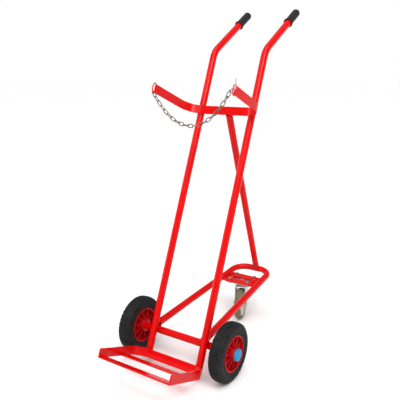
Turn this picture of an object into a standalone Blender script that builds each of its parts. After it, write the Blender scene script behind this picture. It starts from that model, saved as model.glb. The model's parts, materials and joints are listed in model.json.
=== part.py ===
"""Single gas-cylinder trolley: two bent tube uprights on a two-wheel axle, a toe frame, an upper
cylinder band with a safety chain, and a rear hoop that carries one swivel castor.

Metres, +Z up. The toe frame points along -Y, +X is the right-hand side seen from the toe frame's
side, and the floor is z = 0. Everything hangs from the empty axle_line, which lies on the main axle.
"""

import math

import bmesh
import bpy
from mathutils import Matrix, Vector

# Stock and clearances
TUBE_R = 0.0125
TUBE_WALL = 0.002
FLAT_W = 0.030
FLAT_T = 0.005
GAP = 0.0003
TUBE_SIDES = 12

# The axle line lies this far along Y, which puts the origin under the middle of the whole trolley.
AXLE_Y = -0.1925

# Main wheels and axle
WHEEL_R = 0.100
WHEEL_X = 0.1848
TYRE_HALF_W = 0.0245
RIM_R = 0.061
RIM_HALF_W = 0.0232
HUB_HALF_L = 0.030
HUB_R = 0.0225
AXLE_R = 0.010
BEARING_R = 0.0150
RIB_COUNT = 10

# Uprights: a straight run leaning back, then a bend into the handle
LEAN = math.radians(23.37)
HANDLE_BEND = math.radians(37.4)
UPRIGHT_X = 0.1036
UPRIGHT_SETBACK = (2 * TUBE_R + GAP) / math.cos(LEAN)
UPRIGHT_BOTTOM = -0.0858
BEND_AT = 1.0385
BEND_R = 0.075
HANDLE_L = 0.299
GRIP_L = 0.090
GRIP_R = 0.0150
GRIP_FLANGE_R = 0.0176

# Cylinder band, in front of the uprights
BAND_S = 0.8108
BAND_CORNER_X = 0.085
BAND_CORNER_R = 0.065
BAND_REACH = 0.220
BAND_SPLAY_LEFT = math.radians(4.0)
BAND_SPLAY_RIGHT = math.radians(-1.2)

# Toe frame
TOE_S = -0.0850
TOE_CORNER_X = 0.091
TOE_CORNER_R = 0.048
TOE_REACH = 0.2215
TOE_MID_F = 0.092

# Rear hoop and stay
HOOP_LEG_X = 0.1005
HOOP_TAPER = math.radians(2.73)
HOOP_APEX_Y = 0.5415
HOOP_APEX_Z = 0.1700
HOOP_CORNER_R = 0.055
HOOP_START_Z = WHEEL_R + 2 * TUBE_R + GAP
STAY_TOP_X = 0.016
STAY_TOP_S = -0.003
STAY_BOTTOM_X = 0.008

# Castor and its carrier plate
CASTOR_Y = 0.431
CASTOR_TURN = math.radians(15.0)
CASTOR_TRAIL = 0.024
CASTOR_R = 0.0625
CASTOR_HALF_W = 0.0135
CARRIER_Z = 0.155
CARRIER_DEPTH = 0.090
CARRIER_WINDOW = (0.076, 0.022)
TOP_PLATE = (0.105, 0.085, 0.004)
BOLT_SPACING = (0.080, 0.060)
BOLT_R = 0.004
CROWN_TOP = 0.1385
FORK_SHEET = 0.0030
FORK_HALF_W = 0.0220
CUP_DEPTH = 0.008
KINGPIN_R = 0.005
CASTOR_AXLE_R = 0.005

# Safety chain
LOOP_R = 0.0175
LOOP_REACH = 0.0105
LOOP_WIRE_R = 0.002
LINK_WIRE_R = 0.0015
LINK_PITCH = 0.0185
LINK_HALF_L = 0.01035
LINK_HALF_W = 0.0052
END_LINK_HALF_L = 0.0115
END_LINK_HALF_W = 0.0052
LINK_COUNT = 20
HOOK_TAIL = 0.031
HOOK_OUT = 0.0060
HOOK_IN = 0.0105
HOOK_DROP = 0.0090
HOOK_ARM = 0.0125
HOOK_TIP = 0.0070
HOOK_BEND_R = 0.0038

X_AXIS = Vector((1, 0, 0))
Z_AXIS = Vector((0, 0, 1))
ALONG = Vector((0, math.sin(LEAN), math.cos(LEAN)))
FORWARD = Vector((0, -math.cos(LEAN), math.sin(LEAN)))


def clear_scene():
    for obj in list(bpy.data.objects):
        bpy.data.objects.remove(obj, do_unlink=True)


def material(name, colour, roughness, metallic=0.0):
    made = bpy.data.materials.new(name)
    made.use_nodes = True
    shader = made.node_tree.nodes["Principled BSDF"]
    shader.inputs["Base Color"].default_value = (*colour, 1.0)
    shader.inputs["Roughness"].default_value = roughness
    shader.inputs["Metallic"].default_value = metallic
    return made


def empty(name, location, parent=None, turn=0.0):
    made = bpy.data.objects.new(name, None)
    bpy.context.scene.collection.objects.link(made)
    made.location = location
    made.rotation_euler = (0, 0, turn)
    made.parent = parent
    return made


def on_upright(side, s, f=0.0):
    """A point in the axle line's frame: s along the upright from axle height, f in front of it."""
    foot = Vector((side * UPRIGHT_X, -UPRIGHT_SETBACK, WHEEL_R))
    return foot + ALONG * s + FORWARD * f


# Mesh builders ------------------------------------------------------------------------------


def skin(bm, rings, closed):
    """Joins successive rings of points; an open run of rings gets a cap at each end."""
    made = [[bm.verts.new(point) for point in ring] for ring in rings]
    pairs = list(zip(made, made[1:]))
    if closed:
        pairs.append((made[-1], made[0]))
    count = len(made[0])
    for near, far in pairs:
        for i in range(count):
            j = (i + 1) % count
            bm.faces.new((near[i], near[j], far[j], far[i]))
    if not closed:
        bm.faces.new(list(reversed(made[0])))
        bm.faces.new(made[-1])


def circle(centre, side, up, radius, count):
    """Points round a circle, starting straight below its centre when up is +Z."""
    turns = [2 * math.pi * i / count - math.pi / 2 for i in range(count)]
    return [centre + radius * (math.cos(t) * side + math.sin(t) * up) for t in turns]


def square_to(axis):
    """Two directions square to an axis and to each other, the second as near +Z as it can be."""
    side = X_AXIS if abs(axis.x) < 0.9 else Vector((0, 1, 0))
    up = axis.cross(side).normalized()
    if up.z < 0:
        up.negate()
    return up.cross(axis), up


def turned(bm, profile, axis, count, centre=Vector(), closed=False):
    """Turns (radius, distance along the axis) pairs about an axis through centre."""
    side, up = square_to(axis)
    rings = [circle(centre + axis * along, side, up, radius, count) for radius, along in profile]
    skin(bm, rings, closed)


def frames(path):
    """Unit (direction, side, up) at each point of a path, turned as little as possible."""
    directions = []
    for i, point in enumerate(path):
        before = (point - path[i - 1]).normalized() if i else None
        after = (path[i + 1] - point).normalized() if i + 1 < len(path) else None
        if before and after:
            directions.append((before + after).normalized())
        else:
            directions.append(before or after)
    side = directions[0].orthogonal().normalized()
    if abs(directions[0].x) < 0.9:
        side = (X_AXIS - directions[0] * directions[0].x).normalized()
    found = []
    for direction in directions:
        side = (side - direction * side.dot(direction)).normalized()
        found.append((direction, side, direction.cross(side)))
    return found


def swept(bm, path, radius, sides, inner=0.0):
    """A round bar along a path, or a tube with both ends open when inner is given."""
    stations = list(zip(path, frames(path)))
    rings = [circle(p, side, up, radius, sides) for p, (_, side, up) in stations]
    if inner:
        bores = [circle(p, side, up, inner, sides) for p, (_, side, up) in stations]
        skin(bm, rings + bores[::-1], closed=True)
    else:
        skin(bm, rings, closed=False)


def arc(centre, from_dir, to_dir, radius, first, last, steps):
    """Points on an arc; the angle runs from from_dir towards to_dir."""
    angles = [first + (last - first) * i / steps for i in range(steps + 1)]
    return [centre + radius * (math.cos(a) * from_dir + math.sin(a) * to_dir) for a in angles]


def rounded(corners, radius, steps):
    """A path through corners, with a right-angle bend of this radius at each inner one."""
    path = [corners[0]]
    for before, corner, after in zip(corners, corners[1:], corners[2:]):
        back = (before - corner).normalized()
        ahead = (after - corner).normalized()
        path += arc(corner + (back + ahead) * radius, -ahead, -back, radius, 0, math.pi / 2, steps)
    return path + [corners[-1]]


def prism(bm, outline, direction, thickness):
    """A flat outline pushed along direction."""
    far = [point + direction * thickness for point in outline]
    skin(bm, [outline, far], closed=False)


def box(bm, low, high):
    (x0, y0, z0), (x1, y1, z1) = low, high
    outline = [Vector((x0, y0, z0)), Vector((x1, y0, z0)), Vector((x1, y1, z0)), Vector((x0, y1, z0))]
    prism(bm, outline, Z_AXIS, z1 - z0)


def hexagon(centre, axis, across_flats):
    """Twelve points round a hexagon: its corners and the middles of its flats."""
    side, up = square_to(axis)
    corner = across_flats / 2 / math.cos(math.pi / 6)
    points = circle(centre, side, up, corner, 12)
    for i in range(1, 12, 2):
        points[i] = (points[i - 1] + points[(i + 1) % 12]) / 2
    return points


def hex_bolt(bm, base, axis, across_flats, head, radius, length):
    """Head from base to head along the axis, then the shank up to length."""
    side, up = square_to(axis)
    rings = [hexagon(base + axis * along, axis, across_flats) for along in (0, head)]
    rings += [circle(base + axis * along, side, up, radius, 12) for along in (head, length)]
    skin(bm, rings, closed=False)


def hex_nut(bm, base, axis, across_flats, height, bore):
    side, up = square_to(axis)
    rings = [hexagon(base + axis * along, axis, across_flats) for along in (0, height)]
    rings += [circle(base + axis * along, side, up, bore, 12) for along in (height, 0)]
    skin(bm, rings, closed=True)


def add(name, bm, paint, parent, smooth=True):
    bmesh.ops.recalc_face_normals(bm, faces=bm.faces)
    mesh = bpy.data.meshes.new(name)
    bm.to_mesh(mesh)
    bm.free()
    obj = bpy.data.objects.new(name, mesh)
    bpy.context.scene.collection.objects.link(obj)
    obj.parent = parent
    mesh.materials.append(paint)
    if smooth:
        mesh.shade_smooth()
        mesh.set_sharp_from_angle(angle=math.radians(35))
    return obj


def boolean(obj, tool_bm, operation, name):
    """Cuts obj with the tool shape, or joins the tool to it."""
    tool = add(name, tool_bm, obj.data.materials[0], obj.parent, smooth=False)
    tool.hide_render = True
    tool.display_type = "WIRE"
    modifier = obj.modifiers.new(operation.lower(), "BOOLEAN")
    modifier.operation = operation
    modifier.solver = "EXACT"
    modifier.object = tool


# Frame --------------------------------------------------------------------------------------


def upright_path(side):
    corner = on_upright(side, BEND_AT)
    back = Vector((0, math.cos(LEAN), -math.sin(LEAN)))
    trim = BEND_R * math.tan(HANDLE_BEND / 2)
    centre = corner - ALONG * trim + back * BEND_R
    bend = arc(centre, -back, ALONG, BEND_R, 0.0, HANDLE_BEND, 6)
    handle = handle_direction()
    tube_end = corner + handle * (HANDLE_L - 0.004)
    return [on_upright(side, UPRIGHT_BOTTOM)] + bend + [tube_end]


def handle_direction():
    tilt = LEAN + HANDLE_BEND
    return Vector((0, math.sin(tilt), math.cos(tilt)))


def build_upright(name, side, paint, root):
    bm = bmesh.new()
    swept(bm, upright_path(side), TUBE_R, TUBE_SIDES, inner=TUBE_R - TUBE_WALL)
    add(name, bm, paint, root)


def build_grip(name, side, paint, root):
    """A closed-end sleeve with a flange round its mouth."""
    mouth = on_upright(side, BEND_AT) + handle_direction() * (HANDLE_L - GRIP_L)
    bore = TUBE_R + GAP
    profile = [
        (bore, GRIP_L - 0.0035),
        (bore, 0.0),
        (GRIP_FLANGE_R, 0.0),
        (GRIP_FLANGE_R, 0.0035),
        (GRIP_R, 0.0055),
        (GRIP_R, GRIP_L - 0.007),
        (GRIP_R * 0.88, GRIP_L - 0.0025),
        (GRIP_R * 0.55, GRIP_L),
    ]
    bm = bmesh.new()
    turned(bm, profile, handle_direction(), TUBE_SIDES, mouth)
    add(name, bm, paint, root)


def flat_depth(corner_x, radius):
    """How far in front of the uprights a bent flat's middle runs, so its corners just clear them."""
    apart = radius + FLAT_T / 2 + TUBE_R + GAP
    offset = UPRIGHT_X - corner_x
    return math.sqrt(apart * apart - offset * offset) - radius


def corner_points(side, corner_x, radius, reach, splay, depth, steps=7):
    """One half of a U seen along the uprights: (x, f) from the corner's start to the tip."""
    turn = math.pi / 2 - splay
    points = []
    for i in range(steps + 1):
        angle = turn * i / steps
        points.append((side * (corner_x + radius * math.sin(angle)), depth + radius * (1 - math.cos(angle))))
    last_x, last_f = points[-1]
    run = reach - last_f
    points.append((last_x + side * run * math.tan(splay), reach))
    return points


def bent_flat(bm, plan, bottom_s):
    """A flat bar on edge, following a plan of (x, f) points on the uprights' slope."""
    path = [on_upright(0, bottom_s, f) + X_AXIS * x for x, f in plan]
    rings = []
    for point, (_, side, up) in zip(path, frames(path)):
        across = side if abs(side.dot(ALONG)) < 0.5 else up
        a = point - across * FLAT_T / 2
        b = point + across * FLAT_T / 2
        rings.append([a, b, b + ALONG * FLAT_W, a + ALONG * FLAT_W])
    skin(bm, rings, closed=False)


def build_bent_flat(name, corner_x, radius, reach, splays, bottom_s, paint, root):
    depth = flat_depth(corner_x, radius)
    left = corner_points(-1, corner_x, radius, reach, splays[0], depth)
    right = corner_points(1, corner_x, radius, reach, splays[1], depth)
    bm = bmesh.new()
    bent_flat(bm, left[::-1] + right, bottom_s)
    add(name, bm, paint, root)


def build_toe_bar(name, front_f, paint, root):
    """A flat bar laid between the toe frame's sides, flush with their lower edges."""
    inside = TOE_CORNER_X + TOE_CORNER_R - FLAT_T / 2 - GAP
    centre = on_upright(0, TOE_S, front_f)
    outline = [
        centre - X_AXIS * inside,
        centre + X_AXIS * inside,
        centre + X_AXIS * inside - FORWARD * FLAT_W,
        centre - X_AXIS * inside - FORWARD * FLAT_W,
    ]
    bm = bmesh.new()
    prism(bm, outline, ALONG, FLAT_T)
    add(name, bm, paint, root, smooth=False)


def hoop_slope():
    return (HOOP_APEX_Z - HOOP_START_Z) / HOOP_APEX_Y


def hoop_corner():
    """Centre of the right-hand corner's bend, tangent to the tapering leg and to the far run."""
    y = HOOP_APEX_Y - HOOP_CORNER_R
    reach = HOOP_LEG_X * math.cos(HOOP_TAPER) - HOOP_CORNER_R - y * math.sin(HOOP_TAPER)
    return reach / math.cos(HOOP_TAPER), y


def hoop_path():
    x, y = hoop_corner()
    y_axis = Vector((0, 1, 0))
    right = arc(Vector((x, y, 0)), X_AXIS, y_axis, HOOP_CORNER_R, HOOP_TAPER, math.pi / 2, 6)
    left = [Vector((-p.x, p.y, 0)) for p in reversed(right)]
    flat = [Vector((HOOP_LEG_X, 0, 0))] + right + left + [Vector((-HOOP_LEG_X, 0, 0))]
    return [Vector((p.x, p.y, HOOP_START_Z + p.y * hoop_slope())) for p in flat]


def build_hoop(name, paint, root):
    """The legs end in a scoop that fits the back of each upright."""
    bm = bmesh.new()
    swept(bm, hoop_path(), TUBE_R, TUBE_SIDES, inner=TUBE_R - TUBE_WALL)
    hoop = add(name, bm, paint, root)
    scoop = bmesh.new()
    for side in (-1, 1):
        ends = [on_upright(side, -0.04), on_upright(side, 0.12)]
        swept(scoop, ends, TUBE_R + GAP, 2 * TUBE_SIDES)
    boolean(hoop, scoop, "DIFFERENCE", "cut_hoop_scoops")


def build_stay(name, paint, root):
    """One tube from the middle of the band's back down to the hoop's apex."""
    back_face = flat_depth(BAND_CORNER_X, BAND_CORNER_R) - FLAT_T / 2 - GAP
    top = on_upright(0, BAND_S + STAY_TOP_S, back_face) + X_AXIS * STAY_TOP_X
    bottom = Vector((STAY_BOTTOM_X, HOOP_APEX_Y, HOOP_APEX_Z))
    direction = (top - bottom).normalized()
    side = (X_AXIS - direction * direction.x).normalized()
    slide = direction.dot(FORWARD)
    bm = bmesh.new()
    rings = []
    for radius in (TUBE_R, TUBE_R - TUBE_WALL):
        low = circle(bottom, side, direction.cross(side), radius, TUBE_SIDES)
        high = [p + direction * (top - p).dot(FORWARD) / slide for p in low]
        rings.append((low, high))
    (outer_low, outer_high), (inner_low, inner_high) = rings
    skin(bm, [outer_low, outer_high, inner_high, inner_low], closed=True)
    stay = add(name, bm, paint, root)
    scoop = bmesh.new()
    swept(scoop, hoop_path(), TUBE_R + GAP, TUBE_SIDES)
    boolean(stay, scoop, "DIFFERENCE", "cut_stay_scoop")


def build_axle_tube(name, paint, root):
    half = WHEEL_X - HUB_HALF_L - 0.0033
    centre = Vector((0, 0, WHEEL_R))
    bore = AXLE_R + GAP
    profile = [(TUBE_R, -half), (TUBE_R, half), (bore, half), (bore, -half)]
    bm = bmesh.new()
    turned(bm, profile, X_AXIS, TUBE_SIDES, centre, closed=True)
    add(name, bm, paint, root)


def build_axle(name, paint, root):
    half = WHEEL_X + HUB_HALF_L + 0.0062
    tapered = AXLE_R * 0.85
    profile = [(tapered, -half), (AXLE_R, -half + 0.0015), (AXLE_R, half - 0.0015), (tapered, half)]
    bm = bmesh.new()
    turned(bm, profile, X_AXIS, TUBE_SIDES, Vector((0, 0, WHEEL_R)))
    add(name, bm, paint, root)


# Main wheels --------------------------------------------------------------------------------


def mirrored(profile):
    """Completes a closed profile from its +x half, listed from the outside to the bore."""
    return profile + [(radius, -along) for radius, along in reversed(profile)]


def build_tyre(name, paint, wheel):
    half = [
        (WHEEL_R, 0.009),
        (WHEEL_R - 0.0018, 0.0155),
        (WHEEL_R - 0.0065, 0.0210),
        (WHEEL_R - 0.0150, TYRE_HALF_W),
        (WHEEL_R - 0.0270, 0.0238),
        (RIM_R + GAP, 0.0200),
    ]
    bm = bmesh.new()
    turned(bm, mirrored(half), X_AXIS, 28, closed=True)
    add(name, bm, paint, wheel)


def build_wheel_centre(name, paint, wheel):
    """Rim, web and hub in one moulding, stiffened by radial ribs on both sides of the web."""
    wall = 0.004
    web = 0.0025
    half = [
        (RIM_R, RIM_HALF_W),
        (RIM_R - wall, RIM_HALF_W),
        (RIM_R - wall, web),
        (HUB_R, web),
        (HUB_R, HUB_HALF_L),
        (BEARING_R + GAP, HUB_HALF_L),
    ]
    bm = bmesh.new()
    turned(bm, mirrored(half), X_AXIS, 28, closed=True)
    centre = add(name, bm, paint, wheel)
    ribs = bmesh.new()
    for i in range(RIB_COUNT // 2):
        spin = Matrix.Rotation(math.pi * i / (RIB_COUNT // 2), 4, "X")
        for side in (-1, 1):
            rib = bmesh.new()
            box(rib, (-0.017, -0.0017, side * 0.0205), (0.017, 0.0017, side * 0.0585))
            bmesh.ops.transform(rib, matrix=spin, verts=rib.verts)
            loose = bpy.data.meshes.new("rib")
            rib.to_mesh(loose)
            rib.free()
            ribs.from_mesh(loose)
            bpy.data.meshes.remove(loose)
    boolean(centre, ribs, "UNION", "join_" + name + "_ribs")


def build_ring(name, outer, inner, start, length, paint, parent, side=1, count=TUBE_SIDES):
    """A plain ring about the X axis, from start outwards along the given side."""
    profile = [(outer, start), (outer, start + length), (inner, start + length), (inner, start)]
    bm = bmesh.new()
    turned(bm, profile, X_AXIS * side, count, closed=True)
    add(name, bm, paint, parent)


def build_hub_cap(name, side, paint, wheel):
    """A shallow cup over the end of the axle."""
    start = HUB_HALF_L + GAP
    profile = [
        (0.0182, start + 0.0068),
        (0.0182, start),
        (0.0203, start),
        (0.0203, start + 0.0060),
        (0.0180, start + 0.0085),
        (0.0100, start + 0.0095),
    ]
    bm = bmesh.new()
    turned(bm, profile, X_AXIS * side, 16)
    add(name, bm, paint, wheel)


def build_wheel(label, side, paints, root):
    wheel = empty("wheel_axis_" + label, (side * WHEEL_X, 0, WHEEL_R), root)
    build_tyre("tyre_" + label, paints["tyre"], wheel)
    build_wheel_centre("wheel_centre_" + label, paints["wheel"], wheel)
    length = 2 * HUB_HALF_L - 0.002
    build_ring("wheel_bearing_" + label, BEARING_R, AXLE_R + GAP, -length / 2, length, paints["nylon"], wheel)
    build_hub_cap("hub_cap_" + label, side, paints["cap"], wheel)
    washer = (0.0168, AXLE_R + GAP)
    inner_start = -HUB_HALF_L - GAP - 0.0024
    build_ring("inner_washer_" + label, *washer, inner_start, 0.0024, paints["red"], wheel, side)
    outer_start = HUB_HALF_L + GAP
    build_ring("outer_washer_" + label, *washer, outer_start, 0.0018, paints["zinc"], wheel, side)
    clip_start = outer_start + 0.0018 + GAP
    build_ring("axle_clip_" + label, 0.0150, AXLE_R + 0.0001, clip_start, 0.0014, paints["zinc"], wheel, side)


# Castor -------------------------------------------------------------------------------------


def bolt_places():
    half_x, half_y = BOLT_SPACING[0] / 2, BOLT_SPACING[1] / 2
    return [Vector((x, CASTOR_Y + y, 0)) for x in (-half_x, half_x) for y in (-half_y, half_y)]


def leg_inside(y, top):
    """Half the clear width between the hoop's legs at height top."""
    centre = HOOP_LEG_X - math.tan(HOOP_TAPER) * y
    rise = max(0.0, HOOP_START_Z + y * hoop_slope() - top)
    reach = TUBE_R + 2 * GAP
    return centre - math.sqrt(reach * reach - rise * rise) - GAP


def build_carrier(name, paint, root):
    """Level plate between the hoop's legs, with a window between its two bolt rows."""
    top = CARRIER_Z + FLAT_T
    near = CASTOR_Y - CARRIER_DEPTH / 2
    far = CASTOR_Y + CARRIER_DEPTH / 2
    stations = [near + (far - near) * i / 4 for i in range(5)]
    right = [Vector((leg_inside(y, top), y, CARRIER_Z)) for y in stations]
    left = [Vector((-p.x, p.y, p.z)) for p in reversed(right)]
    bm = bmesh.new()
    prism(bm, right + left, Z_AXIS, FLAT_T)
    plate = add(name, bm, paint, root, smooth=False)
    holes = bmesh.new()
    half_x, half_y = CARRIER_WINDOW[0] / 2, CARRIER_WINDOW[1] / 2
    low = (-half_x, CASTOR_Y - half_y, CARRIER_Z - 0.01)
    box(holes, low, (half_x, CASTOR_Y + half_y, top + 0.01))
    for place in bolt_places():
        turned(holes, [(0.0044, CARRIER_Z - 0.01), (0.0044, top + 0.01)], Z_AXIS, 12, place)
    boolean(plate, holes, "DIFFERENCE", "cut_carrier_openings")


def build_top_plate(name, paint, root):
    width, depth, thickness = TOP_PLATE
    top = CARRIER_Z - GAP
    bm = bmesh.new()
    low = (-width / 2, CASTOR_Y - depth / 2, top - thickness)
    box(bm, low, (width / 2, CASTOR_Y + depth / 2, top))
    plate = add(name, bm, paint, root, smooth=False)
    holes = bmesh.new()
    for place in bolt_places():
        turned(holes, [(0.0044, top - 0.01), (0.0044, top + 0.01)], Z_AXIS, 12, place)
    centre = Vector((0, CASTOR_Y, 0))
    turned(holes, [(KINGPIN_R + GAP, top - 0.01), (KINGPIN_R + GAP, top + 0.01)], Z_AXIS, 12, centre)
    boolean(plate, holes, "DIFFERENCE", "cut_top_plate_holes")


def plate_bottom():
    return CARRIER_Z - GAP - TOP_PLATE[2]


def build_race_cup(name, paint, root):
    """The fixed half of the swivel bearing, under the top plate."""
    top = plate_bottom() - GAP
    bottom = top - CUP_DEPTH
    profile = [(0.0270, top), (0.0285, top - 0.002), (0.0285, bottom), (0.0120, bottom), (0.0120, top)]
    bm = bmesh.new()
    turned(bm, profile, Z_AXIS, 16, Vector((0, CASTOR_Y, 0)), closed=True)
    add(name, bm, paint, root)


def build_ball_ring(name, paint, root):
    """The caged balls between the cup and the fork's crown, as one ring of round section."""
    top = plate_bottom() - GAP - CUP_DEPTH
    radius = (top - CROWN_TOP) / 2 - 0.0002
    middle = (top + CROWN_TOP) / 2
    turns = [2 * math.pi * i / 6 for i in range(6)]
    section = [(0.0205 + radius * math.cos(turn), middle + radius * math.sin(turn)) for turn in turns]
    bm = bmesh.new()
    turned(bm, section, Z_AXIS, 16, Vector((0, CASTOR_Y, 0)), closed=True)
    add(name, bm, paint, root)


def build_kingpin(name, paint, root):
    top = CARRIER_Z - GAP
    low = CROWN_TOP - FORK_SHEET - 0.0062
    profile = [
        (KINGPIN_R, low),
        (KINGPIN_R, top + GAP),
        (0.0088, top + GAP),
        (0.0088, top + 0.0025),
        (0.0060, top + 0.0042),
    ]
    bm = bmesh.new()
    turned(bm, profile, Z_AXIS, 12, Vector((0, CASTOR_Y, 0)))
    add(name, bm, paint, root)


def build_carrier_fixings(paints, root):
    """A bolt up through both plates at each corner, with its nut on top."""
    head = 0.0053
    nut_z = CARRIER_Z + FLAT_T + GAP
    for number, place in enumerate(bolt_places(), 1):
        base = place + Z_AXIS * (plate_bottom() - GAP - head)
        bolt = bmesh.new()
        hex_bolt(bolt, base, Z_AXIS, 0.013, head, BOLT_R, nut_z + 0.0088 - base.z)
        add(f"carrier_bolt_{number}", bolt, paints["zinc"], root)
        nut = bmesh.new()
        hex_nut(nut, place + Z_AXIS * nut_z, Z_AXIS, 0.013, 0.0065, BOLT_R + GAP)
        add(f"carrier_nut_{number}", nut, paints["zinc"], root)


def fork_outline():
    """Side of the fork, seen along its axle: a crown over the swivel, tapering to a round foot."""
    foot = Vector((0, -CASTOR_TRAIL, CASTOR_R))
    y_dir = Vector((0, 1, 0))
    ends = arc(foot, y_dir, Z_AXIS, 0.0125, math.radians(-200), math.radians(10), 8)
    crown = [
        Vector((0, 0.0290, CROWN_TOP - 0.016)),
        Vector((0, 0.0290, CROWN_TOP)),
        Vector((0, -0.0290, CROWN_TOP)),
        Vector((0, -0.0340, CROWN_TOP - 0.014)),
    ]
    return ends + crown


def build_fork(name, paint, swivel):
    outline = [p - X_AXIS * FORK_HALF_W for p in fork_outline()]
    bm = bmesh.new()
    prism(bm, outline, X_AXIS, 2 * FORK_HALF_W)
    fork = add(name, bm, paint, swivel, smooth=False)
    inside = FORK_HALF_W - FORK_SHEET
    hollow = bmesh.new()
    box(hollow, (-inside, -0.10, 0.0), (inside, 0.10, CROWN_TOP - FORK_SHEET))
    boolean(fork, hollow, "DIFFERENCE", "cut_fork_inside")
    holes = bmesh.new()
    turned(holes, [(KINGPIN_R + GAP, 0.12), (KINGPIN_R + GAP, 0.15)], Z_AXIS, 12)
    foot = Vector((0, -CASTOR_TRAIL, CASTOR_R))
    turned(holes, [(CASTOR_AXLE_R + GAP, -0.03), (CASTOR_AXLE_R + GAP, 0.03)], X_AXIS, 12, foot)
    boolean(fork, holes, "DIFFERENCE", "cut_fork_holes")


def build_kingpin_nut(name, paint, swivel):
    bm = bmesh.new()
    base = Vector((0, 0, CROWN_TOP - FORK_SHEET - GAP - 0.0050))
    hex_nut(bm, base, Z_AXIS, 0.015, 0.0050, KINGPIN_R + 2 * GAP)
    add(name, bm, paint, swivel)


def build_castor_axle(paints, swivel):
    """Hex bolt through the fork's feet, a spacer sleeve between them and a nut."""
    foot = Vector((0, -CASTOR_TRAIL, CASTOR_R))
    head = 0.004
    face = FORK_HALF_W + GAP
    bolt = bmesh.new()
    start = foot + X_AXIS * (face + head)
    hex_bolt(bolt, start, -X_AXIS, 0.016, head, CASTOR_AXLE_R, 2 * face + head + 0.0070)
    add("castor_axle_bolt", bolt, paints["zinc"], swivel)
    nut = bmesh.new()
    hex_nut(nut, foot - X_AXIS * face, -X_AXIS, 0.016, 0.0055, CASTOR_AXLE_R + GAP)
    add("castor_axle_nut", nut, paints["zinc"], swivel)
    half = FORK_HALF_W - FORK_SHEET - GAP
    ring = [(0.0075, -half), (0.0075, half), (CASTOR_AXLE_R + GAP, half), (CASTOR_AXLE_R + GAP, -half)]
    sleeve = bmesh.new()
    turned(sleeve, ring, X_AXIS, 16, foot, closed=True)
    add("castor_axle_sleeve", sleeve, paints["zinc"], swivel)


def build_castor_wheel(paints, swivel):
    wheel = empty("castor_wheel_axis", (0, -CASTOR_TRAIL, CASTOR_R), swivel)
    core_r = CASTOR_R - 0.0135
    core = bmesh.new()
    half = [
        (core_r, 0.0120),
        (core_r - 0.005, 0.0120),
        (core_r - 0.007, 0.0060),
        (0.0170, 0.0060),
        (0.0150, 0.0180),
        (0.0078, 0.0180),
    ]
    turned(core, mirrored(half), X_AXIS, 24, closed=True)
    add("castor_wheel_core", core, paints["core"], wheel)
    tread = bmesh.new()
    half = [
        (CASTOR_R, 0.0055),
        (CASTOR_R - 0.0022, 0.0105),
        (CASTOR_R - 0.0065, CASTOR_HALF_W),
        (core_r + GAP, CASTOR_HALF_W - 0.001),
    ]
    turned(tread, mirrored(half), X_AXIS, 24, closed=True)
    add("castor_tread", tread, paints["tread"], wheel)


def build_castor(paints, root):
    build_carrier("castor_carrier", paints["red"], root)
    build_top_plate("castor_top_plate", paints["zinc"], root)
    build_race_cup("castor_race_cup", paints["zinc"], root)
    build_ball_ring("castor_ball_ring", paints["steel"], root)
    build_kingpin("castor_kingpin", paints["zinc"], root)
    build_carrier_fixings(paints, root)
    swivel = empty("castor_swivel_axis", (0, CASTOR_Y, 0), root, CASTOR_TURN)
    build_fork("castor_fork", paints["zinc"], swivel)
    build_kingpin_nut("castor_kingpin_nut", paints["zinc"], swivel)
    build_castor_axle(paints, swivel)
    build_castor_wheel(paints, swivel)


# Safety chain -------------------------------------------------------------------------------


def band_tip(side):
    """Middle of the band's end face: its centre line, halfway up."""
    splay = BAND_SPLAY_RIGHT if side > 0 else BAND_SPLAY_LEFT
    depth = flat_depth(BAND_CORNER_X, BAND_CORNER_R)
    x, f = corner_points(side, BAND_CORNER_X, BAND_CORNER_R, BAND_REACH, splay, depth)[-1]
    return on_upright(0, BAND_S, f) + X_AXIS * x


def build_loop(name, side, paint, root):
    """Half-oval wire eye on the end of a wing, in the wing's own upright plane."""
    centre = band_tip(side) + FORWARD * 0.0015
    path = [centre - ALONG * LOOP_R - FORWARD * 0.003]
    for i in range(9):
        turn = math.pi * i / 8 - math.pi / 2
        path.append(centre + FORWARD * LOOP_REACH * math.cos(turn) + ALONG * LOOP_R * math.sin(turn))
    path.append(centre + ALONG * LOOP_R - FORWARD * 0.003)
    bm = bmesh.new()
    swept(bm, path, LOOP_WIRE_R, 6)
    add(name, bm, paint, root)


def chain_start():
    """Middle of the first link's top wire, inside the left eye."""
    return band_tip(-1) + FORWARD * 0.0034 - ALONG * 0.0126 - X_AXIS * 0.0024


def hook_cross():
    """Middle of the hook's wire where it passes through the right eye."""
    return band_tip(1) + FORWARD * (0.0015 + LOOP_REACH - 2 * LOOP_WIRE_R - GAP)


def chain_end():
    """Middle of the end link's top wire, over the hook's arm."""
    arm = hook_cross() + Vector((-HOOK_IN, -0.5 * HOOK_ARM, -HOOK_DROP))
    return arm + Vector((0.0027, 0, 0.0034))


def catenary(start, end, length):
    """Gives point(distance along) for a chain of this length hung between two points."""
    span = math.hypot(end.x - start.x, end.y - start.y)
    rise = end.z - start.z
    wanted = math.sqrt(length * length - rise * rise)
    low, high = 0.01, 10.0
    for _ in range(60):
        a = (low + high) / 2
        if 2 * a * math.sinh(span / 2 / a) > wanted:
            low = a
        else:
            high = a
    shift = span / 2 - a * math.asinh(rise / (2 * a * math.sinh(span / 2 / a)))
    first = a * math.sinh(-shift / a)

    def point(along):
        u = shift + a * math.asinh((along + first) / a)
        z = a * (math.cosh((u - shift) / a) - math.cosh(shift / a))
        part = u / span
        return Vector((start.x + (end.x - start.x) * part, start.y + (end.y - start.y) * part, start.z + z))

    return point


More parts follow.
